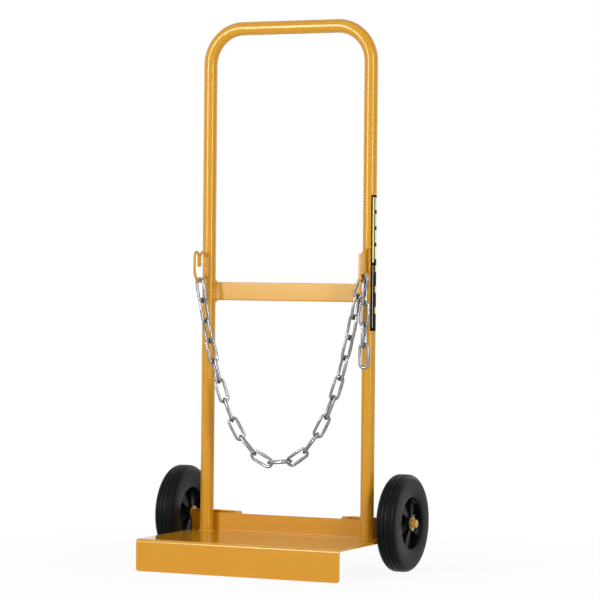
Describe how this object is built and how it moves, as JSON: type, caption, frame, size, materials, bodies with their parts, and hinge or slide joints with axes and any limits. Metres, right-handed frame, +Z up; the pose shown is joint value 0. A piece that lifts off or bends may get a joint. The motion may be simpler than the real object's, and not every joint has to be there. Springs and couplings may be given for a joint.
{
  "type": "gas cylinder trolley",
  "caption": "Two-wheeled hand cart for a pair of upright gas cylinders: bent tube handle, crossbar, folded footplate, rubber wheels and a hanging safety chain.",
  "frame": {"origin": "on the floor, under the middle of the cart's outer box", "axes": "+Z up, -Y the front where the footplate lies, +X to the right seen from the front"},
  "size_m": [0.568, 0.36, 1.135],
  "materials": {
    "yellow_paint": "glossy yellow-orange powder coat",
    "tyre": "matte black rubber",
    "wheel_plastic": "black moulded plastic",
    "zinc": "bright zinc plate"
  },
  "bodies": {
    "cart": {"handle_frame": "yellow_paint", "crossbar": "yellow_paint", "footplate": "yellow_paint", "stub_axle_left": "yellow_paint", "stub_axle_right": "yellow_paint", "axle_collars": "yellow_paint", "axle_washers": "zinc", "split_pins": "zinc", "chain_hook": "yellow_paint", "chain_bracket": "yellow_paint"},
    "wheel_left": {"tyre_left": "tyre", "wheel_centre_left": "wheel_plastic"},
    "wheel_right": {"tyre_right": "tyre", "wheel_centre_right": "wheel_plastic"},
    "chain_swag": {"chain_link_01": "zinc", "chain_link_02": "zinc", "chain_link_03": "zinc", "chain_link_04": "zinc", "chain_link_05": "zinc", "chain_link_06": "zinc", "chain_link_07": "zinc", "chain_link_08": "zinc", "chain_link_09": "zinc", "chain_link_10": "zinc", "chain_link_11": "zinc", "chain_link_12": "zinc", "chain_link_13": "zinc", "chain_link_14": "zinc", "chain_link_15": "zinc", "chain_link_16": "zinc", "chain_link_17": "zinc", "chain_link_18": "zinc", "chain_link_19": "zinc", "chain_link_20": "zinc", "chain_link_21": "zinc", "tail_link_1": "zinc"},
    "tail_2": {"tail_link_2": "zinc"},
    "tail_3": {"tail_link_3": "zinc"},
    "tail_4": {"tail_link_4": "zinc"}
  },
  "joints": [
    {"name": "wheel_left_spin", "type": "hinge", "parent": "cart", "child": "wheel_left", "pos_m": [-0.253, 0.08, 0.1], "axis": [1, 0, 0], "continuous": true},
    {"name": "wheel_right_spin", "type": "hinge", "parent": "cart", "child": "wheel_right", "pos_m": [0.253, 0.08, 0.1], "axis": [1, 0, 0], "continuous": true},
    {"name": "chain_swing", "type": "hinge", "parent": "cart", "child": "chain_swag", "pos_m": [-0.18526, 0.01187, 0.59701], "axis": [0.9995, 0.0125, 0.0274], "range_deg": [-11, 2]},
    {"name": "tail_swing_2", "type": "hinge", "parent": "chain_swag", "child": "tail_2", "pos_m": [0.19, 0.0165, 0.5476], "axis": [0, 1, 0], "range_deg": [-35, 0.5]},
    {"name": "tail_swing_3", "type": "hinge", "parent": "tail_2", "child": "tail_3", "pos_m": [0.19, 0.0165, 0.5046], "axis": [1, 0, 0], "range_deg": [-30, 2]},
    {"name": "tail_swing_4", "type": "hinge", "parent": "tail_3", "child": "tail_4", "pos_m": [0.19, 0.0165, 0.4616], "axis": [0, 1, 0], "range_deg": [-35, 5]}
  ]
}
